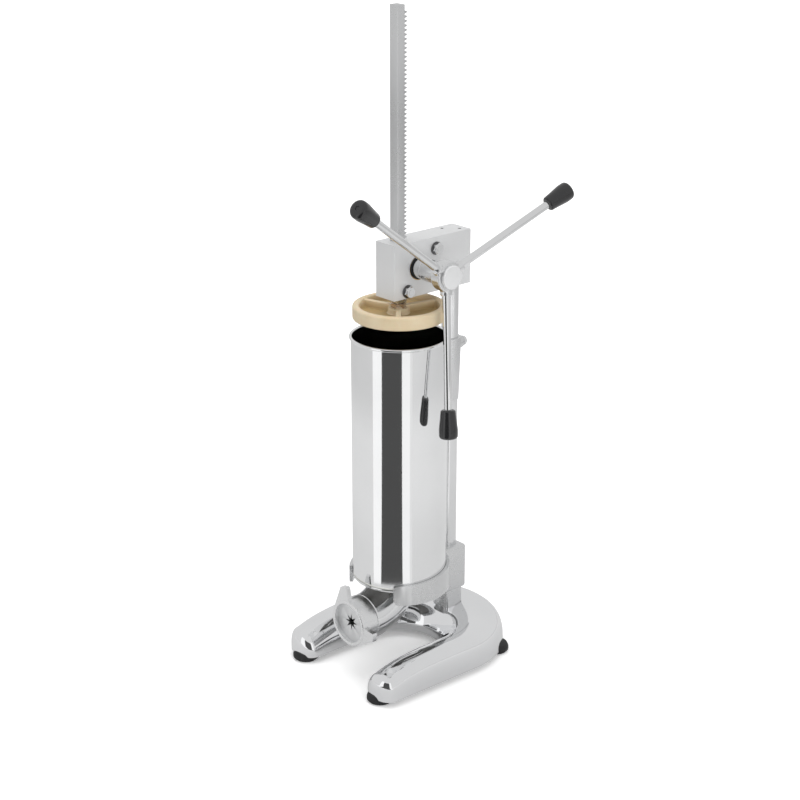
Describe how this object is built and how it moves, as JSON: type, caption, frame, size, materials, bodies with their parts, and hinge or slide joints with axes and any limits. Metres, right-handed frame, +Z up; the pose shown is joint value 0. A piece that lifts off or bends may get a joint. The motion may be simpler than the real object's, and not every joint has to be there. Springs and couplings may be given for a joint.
{
  "type": "churro maker",
  "caption": "Manual churro press: a three-armed lever drives a toothed rack and piston into a polished tank on a horseshoe base.",
  "frame": {"origin": "on the table, at the middle of the machine's bounding box", "axes": "+Z up, +X towards the lever, -Y towards the outlet"},
  "size_m": [0.191, 0.32, 0.772],
  "materials": {
    "polished_chrome": "polished",
    "black_rubber": "matte",
    "zinc": "satin",
    "bright_steel": "polished",
    "satin_aluminium": "satin",
    "dark_steel": "satin",
    "white_nylon": "matte",
    "bronze": "satin",
    "gear_steel": "satin",
    "black_plastic": "gloss",
    "ivory_plastic": "matte",
    "brown_steel": "satin",
    "polished_steel": "polished"
  },
  "bodies": {
    "frame": {"base": "polished_chrome", "rubber_feet": "black_rubber", "foot_screws": "zinc", "column_bolt": "zinc", "column_washer": "zinc", "column": "bright_steel", "cradle": "satin_aluminium", "cradle_set_screw": "dark_steel", "tank_stay": "satin_aluminium", "stay_bolt": "bright_steel", "stay_washer": "zinc", "head_block": "satin_aluminium", "block_lock_screws": "dark_steel", "side_bolts": "bright_steel", "side_washers": "zinc", "rack_shoe": "white_nylon", "shaft_bushings": "bronze", "shaft_seal": "black_rubber"},
    "lever": {"pinion_shaft": "bright_steel", "pinion": "gear_steel", "pinion_key": "gear_steel", "shaft_ring": "dark_steel", "shaft_spacer": "bright_steel", "lever_hub": "satin_aluminium", "hub_pin": "dark_steel", "hub_cap": "bright_steel", "lever_rods": "bright_steel", "lever_knobs": "black_plastic"},
    "press": {"rack": "gear_steel", "piston": "ivory_plastic", "piston_nuts": "brown_steel", "piston_washer": "zinc"},
    "tank": {"tank_tube": "polished_steel", "outlet_casting": "satin_aluminium", "tank_gasket": "white_nylon", "outlet_gasket": "white_nylon"},
    "die": {"star_die": "bright_steel"},
    "nut": {"ring_nut": "satin_aluminium"}
  },
  "joints": [
    {"name": "lever_turn", "type": "hinge", "parent": "frame", "child": "lever", "pos_m": [0, -0.0079, 0.4835], "axis": [1, 0, 0], "range_deg": [0, 1340]},
    {"name": "press_slide", "type": "slide", "parent": "frame", "child": "press", "axis": [0, 0, -1], "range_m": [0, 0.281]},
    {"name": "tank_lift", "type": "slide", "parent": "frame", "child": "tank", "axis": [0, 0, -1], "range_m": [-0.016, 0]},
    {"name": "die_slide", "type": "slide", "parent": "tank", "child": "die", "axis": [0, -1, 0], "range_m": [0, 0.0131]},
    {"name": "ring_turn", "type": "hinge", "parent": "die", "child": "nut", "pos_m": [0, -0.0939, 0.0685], "axis": [0, -1, 0], "range_deg": [0, 1170]}
  ],
  "couplings": [
    {"joint": "press_slide", "follows": "lever_turn", "m_per_rad": 0.012},
    {"joint": "die_slide", "follows": "ring_turn", "m_per_rad": 0.00063662}
  ]
}
